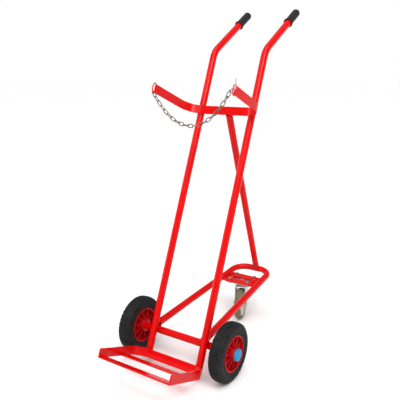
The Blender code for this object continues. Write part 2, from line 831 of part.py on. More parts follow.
def add_link(bm, middle, direction, normal, half_l, half_w, corner=4, sides=4):
    """One oval link of round wire, lying along direction and square to normal."""
    across = normal.cross(direction).normalized()
    path = []
    for end in (1, -1):
        centre = middle + direction * end * (half_l - half_w)
        turns = [math.pi * i / (corner - 1) for i in range(corner)]
        path += [centre + half_w * end * (math.cos(t) * across + math.sin(t) * direction) for t in turns]
    rings = []
    for i, point in enumerate(path):
        ahead = (path[(i + 1) % len(path)] - path[i - 1]).normalized()
        rings.append(circle(point, normal, ahead.cross(normal), LINK_WIRE_R, sides))
    skin(bm, rings, closed=True)


def build_chain(paint, root):
    """The run of small links, touching as they do under their own weight, and the larger end link."""
    start, end = chain_start(), chain_end()
    first = LINK_HALF_L
    last_bow = first + (LINK_COUNT - 1) * LINK_PITCH + LINK_HALF_L
    end_middle = last_bow - 2 * LINK_WIRE_R - 3 * GAP + END_LINK_HALF_L
    length = end_middle + END_LINK_HALF_L
    point = catenary(start, end, length)
    run = end - start
    flat_normal = Z_AXIS.cross(Vector((run.x, run.y, 0)).normalized())
    flat_links = bmesh.new()
    upright_links = bmesh.new()
    for i in range(LINK_COUNT):
        along = first + i * LINK_PITCH
        low, high = point(along - LINK_HALF_L), point(along + LINK_HALF_L)
        direction = (high - low).normalized()
        if i % 2 == 0:
            add_link(flat_links, (low + high) / 2, direction, flat_normal, LINK_HALF_L, LINK_HALF_W)
        else:
            normal = flat_normal.cross(direction)
            add_link(upright_links, (low + high) / 2, direction, normal, LINK_HALF_L, LINK_HALF_W)
    chain = add("chain", flat_links, paint, root)
    boolean(chain, upright_links, "UNION", "join_chain_upright_links")
    low, high = point(end_middle - END_LINK_HALF_L), point(length)
    direction = (high - low).normalized()
    end_link = bmesh.new()
    add_link(end_link, (low + high) / 2, direction, flat_normal, END_LINK_HALF_L, END_LINK_HALF_W, 4, 5)
    add("chain_end_link", end_link, paint, root)


def build_hook(name, paint, root):
    """Wire hook: a tail up the wing's outside, through the eye, down, then an arm with a raised tip."""
    cross = hook_cross()
    corners = [
        cross + Vector((HOOK_OUT, 0, HOOK_TAIL)),
        cross + Vector((HOOK_OUT, 0, 0)),
        cross + Vector((-HOOK_IN, 0, 0)),
        cross + Vector((-HOOK_IN, 0, -HOOK_DROP)),
        cross + Vector((-HOOK_IN, -HOOK_ARM, -HOOK_DROP)),
        cross + Vector((-HOOK_IN, -HOOK_ARM, HOOK_TIP - HOOK_DROP)),
    ]
    bm = bmesh.new()
    swept(bm, rounded(corners, HOOK_BEND_R, 3), LOOP_WIRE_R, 6)
    add(name, bm, paint, root)


def main():
    clear_scene()
    paints = {
        "red": material("red_paint", (0.75, 0.012, 0.010), 0.28),
        "wheel": material("red_plastic", (0.62, 0.010, 0.012), 0.35),
        "tyre": material("black_rubber", (0.035, 0.037, 0.040), 0.75),
        "grip": material("black_vinyl", (0.020, 0.022, 0.025), 0.5),
        "cap": material("blue_plastic", (0.020, 0.300, 0.620), 0.35),
        "zinc": material("zinc_plate", (0.62, 0.63, 0.62), 0.3, 1.0),
        "steel": material("bright_steel", (0.60, 0.60, 0.60), 0.25, 1.0),
        "nylon": material("nylon", (0.75, 0.73, 0.68), 0.5),
        "tread": material("grey_rubber", (0.26, 0.26, 0.20), 0.7),
        "core": material("pale_plastic", (0.72, 0.70, 0.64), 0.45),
        "chain": material("chain_steel", (0.42, 0.33, 0.27), 0.4, 1.0),
    }
    root = empty("axle_line", (0, AXLE_Y, 0))
    for label, side in (("left", -1), ("right", 1)):
        build_upright("upright_" + label, side, paints["red"], root)
        build_grip("grip_" + label, side, paints["grip"], root)
        build_wheel(label, side, paints, root)
        build_loop("chain_eye_" + label, side, paints["red"], root)
    splays = (BAND_SPLAY_LEFT, BAND_SPLAY_RIGHT)
    band = (BAND_CORNER_X, BAND_CORNER_R, BAND_REACH, splays, BAND_S - FLAT_W / 2)
    build_bent_flat("cylinder_band", *band, paints["red"], root)
    toe = (TOE_CORNER_X, TOE_CORNER_R, TOE_REACH, (0.0, 0.0), TOE_S)
    build_bent_flat("toe_rim", *toe, paints["red"], root)
    build_toe_bar("toe_front_bar", TOE_REACH, paints["red"], root)
    build_toe_bar("toe_mid_bar", TOE_MID_F + FLAT_W / 2, paints["red"], root)
    build_hoop("rear_hoop", paints["red"], root)
    build_stay("centre_stay", paints["red"], root)
    build_axle_tube("axle_tube", paints["red"], root)
    build_axle("axle", paints["steel"], root)
    build_castor(paints, root)
    build_chain(paints["chain"], root)
    build_hook("chain_hook", paints["zinc"], root)


main()
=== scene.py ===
"""The looks of the gas-cylinder trolley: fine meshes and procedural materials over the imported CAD."""

import json
import math

import bmesh
import bpy
from mathutils import Matrix, Vector

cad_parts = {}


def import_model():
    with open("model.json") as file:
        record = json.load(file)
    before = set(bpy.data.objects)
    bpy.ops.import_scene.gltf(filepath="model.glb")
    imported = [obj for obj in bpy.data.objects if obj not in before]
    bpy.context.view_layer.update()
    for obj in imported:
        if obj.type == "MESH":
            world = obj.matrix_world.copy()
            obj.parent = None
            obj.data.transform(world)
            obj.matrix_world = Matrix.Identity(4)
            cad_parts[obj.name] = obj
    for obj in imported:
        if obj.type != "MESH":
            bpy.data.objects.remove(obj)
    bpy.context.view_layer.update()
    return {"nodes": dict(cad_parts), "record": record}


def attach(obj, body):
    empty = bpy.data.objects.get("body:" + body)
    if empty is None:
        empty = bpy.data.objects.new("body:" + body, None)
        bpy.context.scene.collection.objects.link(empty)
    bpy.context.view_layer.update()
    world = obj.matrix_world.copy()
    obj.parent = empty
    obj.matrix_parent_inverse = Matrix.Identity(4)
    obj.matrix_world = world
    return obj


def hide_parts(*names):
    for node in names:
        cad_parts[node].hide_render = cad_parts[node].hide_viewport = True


# Stock and clearances
TUBE_R = 0.0125
TUBE_WALL = 0.002
FLAT_W = 0.030
FLAT_T = 0.005
GAP = 0.0003
TUBE_SIDES = 48
WIRE_SIDES = 12
SHARP_ANGLE = math.radians(35)
FLAT_SOFT_EDGE = 0.0007

# The axle line lies this far along Y, which puts the origin under the middle of the whole trolley.
AXLE_Y = -0.1925

# Main wheels and axle
WHEEL_R = 0.100
WHEEL_X = 0.1848
TYRE_HALF_W = 0.0245
RIM_R = 0.061
RIM_HALF_W = 0.0232
HUB_HALF_L = 0.030
AXLE_R = 0.010
BEARING_R = 0.0150
RIB_COUNT = 10
SLOT_DEPTH = 0.0022

# Uprights: a straight run leaning back, then a bend into the handle
LEAN = math.radians(23.37)
HANDLE_BEND = math.radians(37.4)
UPRIGHT_X = 0.1036
UPRIGHT_SETBACK = (2 * TUBE_R + GAP) / math.cos(LEAN)
UPRIGHT_BOTTOM = -0.0858
BEND_AT = 1.0385
BEND_R = 0.075
HANDLE_L = 0.299
GRIP_L = 0.090
GRIP_R = 0.0150
GRIP_FLANGE_R = 0.0176

# Cylinder band, in front of the uprights
BAND_S = 0.8108
BAND_CORNER_X = 0.085
BAND_CORNER_R = 0.065
BAND_REACH = 0.220
BAND_SPLAY_LEFT = math.radians(4.0)
BAND_SPLAY_RIGHT = math.radians(-1.2)

# Toe frame
TOE_S = -0.0850
TOE_CORNER_X = 0.091
TOE_CORNER_R = 0.048
TOE_REACH = 0.2215
TOE_MID_F = 0.092

# Rear hoop and stay
HOOP_LEG_X = 0.1005
HOOP_TAPER = math.radians(2.73)
HOOP_APEX_Y = 0.5415
HOOP_APEX_Z = 0.1700
HOOP_CORNER_R = 0.055
HOOP_START_Z = WHEEL_R + 2 * TUBE_R + GAP
STAY_TOP_X = 0.016
STAY_TOP_S = -0.003
STAY_BOTTOM_X = 0.008

# Castor and its carrier plate
CASTOR_Y = 0.431
CASTOR_TURN = math.radians(15.0)
CASTOR_TRAIL = 0.024
CASTOR_R = 0.0625
CASTOR_HALF_W = 0.0135
CARRIER_Z = 0.155
CARRIER_DEPTH = 0.090
CARRIER_WINDOW = (0.076, 0.022)
TOP_PLATE = (0.105, 0.085, 0.004)
BOLT_SPACING = (0.080, 0.060)
BOLT_HOLE_R = 0.0044
CROWN_TOP = 0.1385
FORK_SHEET = 0.0030
FORK_HALF_W = 0.0220
CUP_DEPTH = 0.008
KINGPIN_R = 0.005
CASTOR_AXLE_R = 0.005

# Safety chain
LOOP_R = 0.0175
LOOP_REACH = 0.0105
LOOP_WIRE_R = 0.002
LOOP_OUT = 0.0015
LOOP_LEG = 0.003
LINK_WIRE_R = 0.0015
LINK_PITCH = 0.0185
LINK_HALF_L = 0.01035
LINK_HALF_W = 0.0052
END_LINK_HALF_L = 0.0115
END_LINK_HALF_W = 0.0052
LINK_COUNT = 20
HOOK_TAIL = 0.031
HOOK_OUT = 0.0060
HOOK_IN = 0.0105
HOOK_DROP = 0.0090
HOOK_ARM = 0.0125
HOOK_TIP = 0.0070
HOOK_BEND_R = 0.0038

X_AXIS = Vector((1, 0, 0))
Z_AXIS = Vector((0, 0, 1))
ALONG = Vector((0, math.sin(LEAN), math.cos(LEAN)))
FORWARD = Vector((0, -math.cos(LEAN), math.sin(LEAN)))


# Materials ---------------------------------------------------------------------------------


def surface(name, colours, grain, rough, bump, metallic=0.0, coat=0.0, rough_grain=40.0, distortion=0.4):
    """A procedural material: two colours mixed by noise of size grain, roughness between two values,
    and bump as (strength, noise scale, height in metres)."""
    made = bpy.data.materials.new(name)
    made.use_nodes = True
    nodes, links = made.node_tree.nodes, made.node_tree.links
    shader = nodes["Principled BSDF"]
    shader.inputs["Metallic"].default_value = metallic
    shader.inputs["Coat Weight"].default_value = coat
    shader.inputs["Coat Roughness"].default_value = 0.05
    shader.inputs["Specular IOR Level"].default_value = 0.5 if metallic else 0.14
    place = nodes.new("ShaderNodeTexCoord")
    for_colour = noise(nodes, links, place, grain, distortion)
    ramp = nodes.new("ShaderNodeValToRGB")
    ramp.color_ramp.elements[0].position = 0.32
    ramp.color_ramp.elements[0].color = (*colours[0], 1.0)
    ramp.color_ramp.elements[1].position = 0.68
    ramp.color_ramp.elements[1].color = (*colours[1], 1.0)
    links.new(for_colour.outputs["Fac"], ramp.inputs["Fac"])
    links.new(ramp.outputs["Color"], shader.inputs["Base Color"])
    for_rough = noise(nodes, links, place, rough_grain, distortion)
    spread = nodes.new("ShaderNodeMapRange")
    spread.inputs["From Min"].default_value = 0.3
    spread.inputs["From Max"].default_value = 0.7
    spread.inputs["To Min"].default_value = rough[0]
    spread.inputs["To Max"].default_value = rough[1]
    links.new(for_rough.outputs["Fac"], spread.inputs["Value"])
    links.new(spread.outputs["Result"], shader.inputs["Roughness"])
    strength, scale, height = bump
    for_bump = noise(nodes, links, place, scale, 0.0)
    relief = nodes.new("ShaderNodeBump")
    relief.inputs["Strength"].default_value = strength
    relief.inputs["Distance"].default_value = height
    links.new(for_bump.outputs["Fac"], relief.inputs["Height"])
    links.new(relief.outputs["Normal"], shader.inputs["Normal"])
    return made


def noise(nodes, links, place, scale, distortion):
    made = nodes.new("ShaderNodeTexNoise")
    made.inputs["Scale"].default_value = scale
    made.inputs["Detail"].default_value = 4.0
    made.inputs["Distortion"].default_value = distortion
    links.new(place.outputs["Object"], made.inputs["Vector"])
    return made


def make_paints():
    """One material for each of the record's slots."""
    steel = {"metallic": 1.0, "rough_grain": 60.0}
    paints = {
        "red_paint": surface(
            "red_enamel",
            ((0.56, 0.0004, 0.0004), (0.64, 0.0007, 0.0006)),
            grain=9.0,
            rough=(0.18, 0.28),
            bump=(0.10, 420.0, 0.0003),
            coat=0.10,
        ),
        "red_plastic": surface(
            "red_wheel_plastic",
            ((0.34, 0.001, 0.003), (0.44, 0.002, 0.004)),
            grain=30.0,
            rough=(0.30, 0.42),
            bump=(0.12, 900.0, 0.0002),
        ),
        "black_rubber": surface(
            "tyre_rubber",
            ((0.009, 0.009, 0.010), (0.019, 0.019, 0.020)),
            grain=45.0,
            rough=(0.60, 0.78),
            bump=(0.30, 700.0, 0.0004),
        ),
        "black_vinyl": surface(
            "grip_vinyl",
            ((0.012, 0.013, 0.012), (0.020, 0.021, 0.020)),
            grain=60.0,
            rough=(0.40, 0.52),
            bump=(0.15, 1100.0, 0.0002),
        ),
        "blue_plastic": surface(
            "cap_plastic",
            ((0.010, 0.200, 0.420), (0.016, 0.250, 0.500)),
            grain=50.0,
            rough=(0.24, 0.34),
            bump=(0.10, 900.0, 0.0002),
        ),
        "zinc_plate": surface(
            "zinc_coat",
            ((0.50, 0.51, 0.50), (0.62, 0.62, 0.60)),
            grain=35.0,
            rough=(0.24, 0.42),
            bump=(0.12, 600.0, 0.0002),
            **steel,
        ),
        "bright_steel": surface(
            "turned_steel",
            ((0.55, 0.55, 0.55), (0.64, 0.64, 0.63)),
            grain=80.0,
            rough=(0.18, 0.30),
            bump=(0.10, 900.0, 0.0001),
            **steel,
        ),
        "nylon": surface(
            "nylon_bush",
            ((0.68, 0.66, 0.60), (0.76, 0.74, 0.68)),
            grain=50.0,
            rough=(0.42, 0.55),
            bump=(0.10, 700.0, 0.0002),
        ),
        "grey_rubber": surface(
            "castor_rubber",
            ((0.120, 0.122, 0.075), (0.170, 0.170, 0.110)),
            grain=60.0,
            rough=(0.55, 0.72),
            bump=(0.25, 800.0, 0.0003),
        ),
        "pale_plastic": surface(
            "castor_core_plastic",
            ((0.60, 0.58, 0.50), (0.68, 0.66, 0.58)),
            grain=40.0,
            rough=(0.36, 0.48),
            bump=(0.10, 700.0, 0.0002),
        ),
        "chain_steel": surface(
            "chain_metal",
            ((0.10, 0.070, 0.055), (0.26, 0.20, 0.165)),
            grain=70.0,
            rough=(0.26, 0.48),
            bump=(0.20, 900.0, 0.0002),
            **steel,
        ),
    }
    for slot, paint in paints.items():
        paint["slot"] = slot
    return paints


def on_upright(side, s, f=0.0):
    """A point in the axle line's frame: s along the upright from axle height, f in front of it."""
    foot = Vector((side * UPRIGHT_X, -UPRIGHT_SETBACK, WHEEL_R))
    return foot + ALONG * s + FORWARD * f


# Mesh builders ------------------------------------------------------------------------------


def skin(bm, rings, closed):
    """Joins successive rings of points; an open run of rings gets a cap at each end."""
    made = [[bm.verts.new(point) for point in ring] for ring in rings]
    pairs = list(zip(made, made[1:]))
    if closed:
        pairs.append((made[-1], made[0]))
    count = len(made[0])
    for near, far in pairs:
        for i in range(count):
            j = (i + 1) % count
            bm.faces.new((near[i], near[j], far[j], far[i]))
    if not closed:
        bm.faces.new(list(reversed(made[0])))
        bm.faces.new(made[-1])


def circle(centre, side, up, radius, count):
    """Points round a circle, starting straight below its centre when up is +Z."""
    turns = [2 * math.pi * i / count - math.pi / 2 for i in range(count)]
    return [centre + radius * (math.cos(t) * side + math.sin(t) * up) for t in turns]


def square_to(axis):
    """Two directions square to an axis and to each other, the second as near +Z as it can be."""
    side = X_AXIS if abs(axis.x) < 0.9 else Vector((0, 1, 0))
    up = axis.cross(side).normalized()
    if up.z < 0:
        up.negate()
    return up.cross(axis), up


def turned(bm, profile, axis, count, centre=Vector(), closed=False):
    """Turns (radius, distance along the axis) pairs about an axis through centre."""
    side, up = square_to(axis)
    rings = [circle(centre + axis * along, side, up, radius, count) for radius, along in profile]
    skin(bm, rings, closed)


def frames(path):
    """Unit (direction, side, up) at each point of a path, turned as little as possible."""
    directions = []
    for i, point in enumerate(path):
        before = (point - path[i - 1]).normalized() if i else None
        after = (path[i + 1] - point).normalized() if i + 1 < len(path) else None
        if before and after:
            directions.append((before + after).normalized())
        else:
            directions.append(before or after)
    side = directions[0].orthogonal().normalized()
    if abs(directions[0].x) < 0.9:
        side = (X_AXIS - directions[0] * directions[0].x).normalized()
    found = []
    for direction in directions:
        side = (side - direction * side.dot(direction)).normalized()
        found.append((direction, side, direction.cross(side)))
    return found


def swept(bm, path, radius, sides, inner=0.0):
    """A round bar along a path, or a tube with both ends open when inner is given."""
    stations = list(zip(path, frames(path)))
    rings = [circle(p, side, up, radius, sides) for p, (_, side, up) in stations]
    if inner:
        bores = [circle(p, side, up, inner, sides) for p, (_, side, up) in stations]
        skin(bm, rings + bores[::-1], closed=True)
    else:
        skin(bm, rings, closed=False)


def arc(centre, from_dir, to_dir, radius, first, last, steps):
    """Points on an arc; the angle runs from from_dir towards to_dir."""
    angles = [first + (last - first) * i / steps for i in range(steps + 1)]
    return [centre + radius * (math.cos(a) * from_dir + math.sin(a) * to_dir) for a in angles]


def rounded(corners, radius, steps):
    """A path through corners, with a right-angle bend of this radius at each inner one."""
    path = [corners[0]]
    for before, corner, after in zip(corners, corners[1:], corners[2:]):
        back = (before - corner).normalized()
        ahead = (after - corner).normalized()
        path += arc(corner + (back + ahead) * radius, -ahead, -back, radius, 0, math.pi / 2, steps)
    return path + [corners[-1]]


def prism(bm, outline, direction, thickness):
    """A flat outline pushed along direction."""
    far = [point + direction * thickness for point in outline]
    skin(bm, [outline, far], closed=False)


def box(bm, low, high):
    (x0, y0, z0), (x1, y1, z1) = low, high
    outline = [Vector((x0, y0, z0)), Vector((x1, y0, z0)), Vector((x1, y1, z0)), Vector((x0, y1, z0))]
    prism(bm, outline, Z_AXIS, z1 - z0)


def add(name, bm, paint, seat, smooth=True, bevel=0.0, stands_for=None):
    """Makes the fine piece, seats it as (matrix, body) and lets it stand for its CAD node."""
    bmesh.ops.recalc_face_normals(bm, faces=bm.faces)
    mesh = bpy.data.meshes.new(name + "_fine")
    bm.to_mesh(mesh)
    bm.free()
    obj = bpy.data.objects.new(name + "_fine", mesh)
    bpy.context.scene.collection.objects.link(obj)
    mesh.materials.append(paint)
    if smooth:
        mesh.shade_smooth()
        mesh.set_sharp_from_angle(angle=SHARP_ANGLE)
    if seat is None:
        return obj
    matrix, body = seat
    obj.matrix_world = matrix
    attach(obj, body)
    for node in [name] if stands_for is None else stands_for:
        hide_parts(node)
    if bevel:
        soften(obj, bevel)
    return obj


def soften(obj, width):
    """Small rounded edges that catch the light."""
    modifier = obj.modifiers.new("soft_edges", "BEVEL")
    modifier.width = width
    modifier.segments = 3
    modifier.limit_method = "ANGLE"
    modifier.angle_limit = math.radians(40)
    modifier.harden_normals = True


def carve(obj, tool_bm, name):
    """Cuts the tool's shape out of obj and keeps the result as its mesh."""
    tool = add(name, tool_bm, obj.data.materials[0], None, smooth=False)
    tool.matrix_world = obj.matrix_world
    modifier = obj.modifiers.new("cut", "BOOLEAN")
    modifier.operation = "DIFFERENCE"
    modifier.solver = "EXACT"
    modifier.object = tool
    bpy.context.view_layer.update()
    evaluated = obj.evaluated_get(bpy.context.evaluated_depsgraph_get())
    shaped = bpy.data.meshes.new_from_object(evaluated)
    obj.modifiers.remove(modifier)
    obj.data = shaped
    shaped.shade_smooth()
    shaped.set_sharp_from_angle(angle=SHARP_ANGLE)
    bpy.data.objects.remove(tool, do_unlink=True)


# Frame --------------------------------------------------------------------------------------


def upright_path(side):
    corner = on_upright(side, BEND_AT)
    back = Vector((0, math.cos(LEAN), -math.sin(LEAN)))
    trim = BEND_R * math.tan(HANDLE_BEND / 2)
    centre = corner - ALONG * trim + back * BEND_R
    bend = arc(centre, -back, ALONG, BEND_R, 0.0, HANDLE_BEND, 24)
    handle = handle_direction()
    tube_end = corner + handle * (HANDLE_L - 0.004)
    return [on_upright(side, UPRIGHT_BOTTOM)] + bend + [tube_end]


def handle_direction():
    tilt = LEAN + HANDLE_BEND
    return Vector((0, math.sin(tilt), math.cos(tilt)))


def build_upright(name, side, paint, root):
    bm = bmesh.new()
    swept(bm, upright_path(side), TUBE_R, TUBE_SIDES, inner=TUBE_R - TUBE_WALL)
    add(name, bm, paint, root)


def build_grip(name, side, paint, root):
    """A closed-end sleeve with a flange round its mouth and shallow rings along it."""
    mouth = on_upright(side, BEND_AT) + handle_direction() * (HANDLE_L - GRIP_L)
    bore = TUBE_R + GAP
    profile = [(bore, GRIP_L - 0.0035), (bore, 0.0004), (bore + 0.0004, 0.0)]
    profile += [(GRIP_FLANGE_R - 0.0006, 0.0), (GRIP_FLANGE_R, 0.0008), (GRIP_FLANGE_R, 0.0028)]
    profile += [(GRIP_FLANGE_R - 0.0008, 0.0037), (GRIP_R + 0.0004, 0.0044), (GRIP_R - 0.0002, 0.0056)]
    along = 0.010
    while along < GRIP_L - 0.024:
        profile += [(GRIP_R - 0.0001, along), (GRIP_R - 0.0004, along + 0.0014)]
        profile += [(GRIP_R - 0.0004, along + 0.0026), (GRIP_R - 0.0001, along + 0.0040)]
        along += 0.0105
    dome = 0.0085
    for i in range(9):
        turn = math.pi / 2 * i / 9
        radius = GRIP_R * (0.45 + 0.55 * math.cos(turn))
        profile.append((radius, GRIP_L - dome * (1 - math.sin(turn))))
    profile.append((GRIP_R * 0.45, GRIP_L))
    bm = bmesh.new()
    turned(bm, profile, handle_direction(), TUBE_SIDES, mouth)
    add(name, bm, paint, root)


def flat_depth(corner_x, radius):
    """How far in front of the uprights a bent flat's middle runs, so its corners just clear them."""
    apart = radius + FLAT_T / 2 + TUBE_R + GAP
    offset = UPRIGHT_X - corner_x
    return math.sqrt(apart * apart - offset * offset) - radius


def corner_points(side, corner_x, radius, reach, splay, depth, steps=24):
    """One half of a U seen along the uprights: (x, f) from the corner's start to the tip."""
    turn = math.pi / 2 - splay
    points = []
    for i in range(steps + 1):
        angle = turn * i / steps
        x = side * (corner_x + radius * math.sin(angle))
        points.append((x, depth + radius * (1 - math.cos(angle))))
    last_x, last_f = points[-1]
    run = reach - last_f
    points.append((last_x + side * run * math.tan(splay), reach))
    return points


def bent_flat(bm, plan, bottom_s):
    """A flat bar on edge, following a plan of (x, f) points on the uprights' slope."""
    path = [on_upright(0, bottom_s, f) + X_AXIS * x for x, f in plan]
    rings = []
    for point, (_, side, up) in zip(path, frames(path)):
        across = side if abs(side.dot(ALONG)) < 0.5 else up
        a = point - across * FLAT_T / 2
        b = point + across * FLAT_T / 2
        rings.append([a, b, b + ALONG * FLAT_W, a + ALONG * FLAT_W])
    skin(bm, rings, closed=False)


def build_bent_flat(name, corner_x, radius, reach, splays, bottom_s, paint, root):
    depth = flat_depth(corner_x, radius)
    left = corner_points(-1, corner_x, radius, reach, splays[0], depth)
    right = corner_points(1, corner_x, radius, reach, splays[1], depth)
    bm = bmesh.new()
    bent_flat(bm, left[::-1] + right, bottom_s)
    add(name, bm, paint, root, bevel=FLAT_SOFT_EDGE)


def build_toe_bar(name, front_f, paint, root):
    """A flat bar laid between the toe frame's sides, flush with their lower edges."""
    inside = TOE_CORNER_X + TOE_CORNER_R - FLAT_T / 2 - GAP
    centre = on_upright(0, TOE_S, front_f)
    outline = [
        centre - X_AXIS * inside,
        centre + X_AXIS * inside,
        centre + X_AXIS * inside - FORWARD * FLAT_W,
        centre - X_AXIS * inside - FORWARD * FLAT_W,
    ]
    bm = bmesh.new()
    prism(bm, outline, ALONG, FLAT_T)
    add(name, bm, paint, root, bevel=FLAT_SOFT_EDGE)


def hoop_slope():
    return (HOOP_APEX_Z - HOOP_START_Z) / HOOP_APEX_Y


def hoop_corner():
    """Centre of the right-hand corner's bend, tangent to the tapering leg and to the far run."""
    y = HOOP_APEX_Y - HOOP_CORNER_R
    reach = HOOP_LEG_X * math.cos(HOOP_TAPER) - HOOP_CORNER_R - y * math.sin(HOOP_TAPER)
    return reach / math.cos(HOOP_TAPER), y


def hoop_path():
    x, y = hoop_corner()
    y_axis = Vector((0, 1, 0))
    right = arc(Vector((x, y, 0)), X_AXIS, y_axis, HOOP_CORNER_R, HOOP_TAPER, math.pi / 2, 24)
    left = [Vector((-p.x, p.y, 0)) for p in reversed(right)]
    flat = [Vector((HOOP_LEG_X, 0, 0))] + right + left + [Vector((-HOOP_LEG_X, 0, 0))]
    return [Vector((p.x, p.y, HOOP_START_Z + p.y * hoop_slope())) for p in flat]


def build_hoop(name, paint, root):
    """The legs end in a scoop that fits the back of each upright."""
    bm = bmesh.new()
    swept(bm, hoop_path(), TUBE_R, TUBE_SIDES, inner=TUBE_R - TUBE_WALL)
    hoop = add(name, bm, paint, root)
    scoop = bmesh.new()
    for side in (-1, 1):
        ends = [on_upright(side, -0.04), on_upright(side, 0.12)]
        swept(scoop, ends, TUBE_R + GAP, 2 * TUBE_SIDES)
    carve(hoop, scoop, "cut_hoop_scoops")


def build_stay(name, paint, root):
    """One tube from the middle of the band's back down to the hoop's apex."""
    back_face = flat_depth(BAND_CORNER_X, BAND_CORNER_R) - FLAT_T / 2 - GAP
    top = on_upright(0, BAND_S + STAY_TOP_S, back_face) + X_AXIS * STAY_TOP_X
    bottom = Vector((STAY_BOTTOM_X, HOOP_APEX_Y, HOOP_APEX_Z))
    direction = (top - bottom).normalized()
    side = (X_AXIS - direction * direction.x).normalized()
    slide = direction.dot(FORWARD)
    bm = bmesh.new()
    rings = []
    for radius in (TUBE_R, TUBE_R - TUBE_WALL):
        low = circle(bottom, side, direction.cross(side), radius, TUBE_SIDES)
        high = [p + direction * (top - p).dot(FORWARD) / slide for p in low]
        rings.append((low, high))
    (outer_low, outer_high), (inner_low, inner_high) = rings
    skin(bm, [outer_low, outer_high, inner_high, inner_low], closed=True)
    stay = add(name, bm, paint, root)
    scoop = bmesh.new()
    swept(scoop, hoop_path(), TUBE_R + GAP, TUBE_SIDES)
    carve(stay, scoop, "cut_stay_scoop")


def build_axle_tube(name, paint, root):
    half = WHEEL_X - HUB_HALF_L - 0.0033
    centre = Vector((0, 0, WHEEL_R))
    bore = AXLE_R + GAP
    profile = [(TUBE_R, -half), (TUBE_R, half), (bore, half), (bore, -half)]
    bm = bmesh.new()
    turned(bm, profile, X_AXIS, TUBE_SIDES, centre, closed=True)
    add(name, bm, paint, root)


# Main wheels --------------------------------------------------------------------------------


def mirrored(profile):
    """Completes a closed profile from its +x half, listed from the outside to the bore."""
    return profile + [(radius, -along) for radius, along in reversed(profile)]


def tyre_half(notch):
    """The tyre's section from mid-tread to the bore; notch is the depth of a shoulder slot."""
    return [
        (WHEEL_R, 0.0034),
        (WHEEL_R - 0.0022, 0.0040),
        (WHEEL_R - 0.0022, 0.0056),
        (WHEEL_R - 0.0003, 0.0062),
        (WHEEL_R - 0.0007, 0.0108),
        (WHEEL_R - 0.0026, 0.0114),
        (WHEEL_R - 0.0026, 0.0128),
        (WHEEL_R - 0.0012 - notch, 0.0134),
        (WHEEL_R - 0.0024 - notch, 0.0170),
        (WHEEL_R - 0.0062 - notch, 0.0208 - 0.3 * notch),
        (WHEEL_R - 0.0105 - 0.4 * notch, 0.0232 - 0.4 * notch),
        (WHEEL_R - 0.0160, TYRE_HALF_W),
        (WHEEL_R - 0.0240, 0.0241),
        (WHEEL_R - 0.0252, 0.0232),
        (WHEEL_R - 0.0325, 0.0218),
        (WHEEL_R - 0.0340, 0.0224),
        (WHEEL_R - 0.0365, 0.0214),
        (RIM_R + GAP, 0.0200),
    ]


def build_tyre(name, paint, wheel):
    """Ribbed tread with slots across both shoulders, staggered from side to side."""
    count = 160
    bm = bmesh.new()
    rings = []
    for i in range(count):
        turn = 2 * math.pi * i / count - math.pi / 2
        out = Vector((0, math.cos(turn), math.sin(turn)))
        right = tyre_half(SLOT_DEPTH if i % 4 == 2 else 0.0)
        left = tyre_half(SLOT_DEPTH if i % 4 == 1 else 0.0)
        section = right + [(radius, -along) for radius, along in reversed(left)]
        rings.append([out * radius + X_AXIS * along for radius, along in section])
    skin(bm, rings, closed=True)
    add(name, bm, paint, wheel)


def build_wheel_centre(name, paint, wheel):
    """Rim with a rolled lip, dished web and hub, stiffened by radial ribs on both sides."""
    half = [
        (RIM_R, 0.0222),
        (RIM_R - 0.0006, 0.0229),
        (RIM_R - 0.0016, RIM_HALF_W),
        (RIM_R - 0.0034, RIM_HALF_W),
        (RIM_R - 0.0042, 0.0227),
        (RIM_R - 0.0045, 0.0215),
        (RIM_R - 0.0052, 0.0045),
        (RIM_R - 0.0064, 0.0028),
        (RIM_R - 0.0085, 0.0022),
        (0.0265, 0.0022),
        (0.0242, 0.0030),
        (0.0230, 0.0055),
        (0.0224, 0.0280),
        (0.0218, 0.0295),
        (0.0206, HUB_HALF_L),
        (BEARING_R + GAP, HUB_HALF_L),
    ]
    bm = bmesh.new()
    turned(bm, mirrored(half), X_AXIS, 96, closed=True)
    add(name, bm, paint, wheel)
    ribs = bmesh.new()
    for i in range(RIB_COUNT):
        turn = 2 * math.pi * i / RIB_COUNT + math.pi / 2
        out = Vector((0, math.cos(turn), math.sin(turn)))
        across = Vector((0, -math.sin(turn), math.cos(turn))) * 0.0016
        low, high = out * 0.0215, out * (RIM_R - 0.0046)
        for side in (-1, 1):
            web = X_AXIS * side * 0.0015
            foot = [low - across, low + across, high + across, high - across]
            outline = [p + web for p in foot]
            far = [low * 1.02 - across, low * 1.02 + across, high + across, high - across]
            heights = (0.0205, 0.0205, 0.0165, 0.0165)
            top = [p + X_AXIS * side * h for p, h in zip(far, heights)]
            skin(ribs, [outline, top], closed=False)
    add(name + "_ribs", ribs, paint, wheel, stands_for=[], bevel=0.0005)


def build_hub_cap(name, side, paint, wheel):
    """A domed cup over the end of the axle, with a shallow ring pressed in its face."""
    start = HUB_HALF_L + GAP
    outer = 0.0203
    profile = [
        (outer - 0.0021, start + 0.0068),
        (outer - 0.0021, start + 0.0002),
        (outer - 0.0017, start),
        (outer - 0.0004, start),
        (outer, start + 0.0005),
        (outer, start + 0.0048),
        (outer - 0.0004, start + 0.0061),
        (outer - 0.0014, start + 0.0074),
        (outer - 0.0036, start + 0.0086),
        (0.0128, start + 0.0093),
        (0.0122, start + 0.0087),
        (0.0098, start + 0.0086),
        (0.0092, start + 0.0092),
        (0.0050, start + 0.0095),
        (0.0012, start + 0.0095),
    ]
    bm = bmesh.new()
    turned(bm, profile, X_AXIS * side, 64)
    add(name, bm, paint, wheel)


# Castor -------------------------------------------------------------------------------------


def bolt_places():
    half_x, half_y = BOLT_SPACING[0] / 2, BOLT_SPACING[1] / 2
    return [Vector((x, CASTOR_Y + y, 0)) for x in (-half_x, half_x) for y in (-half_y, half_y)]


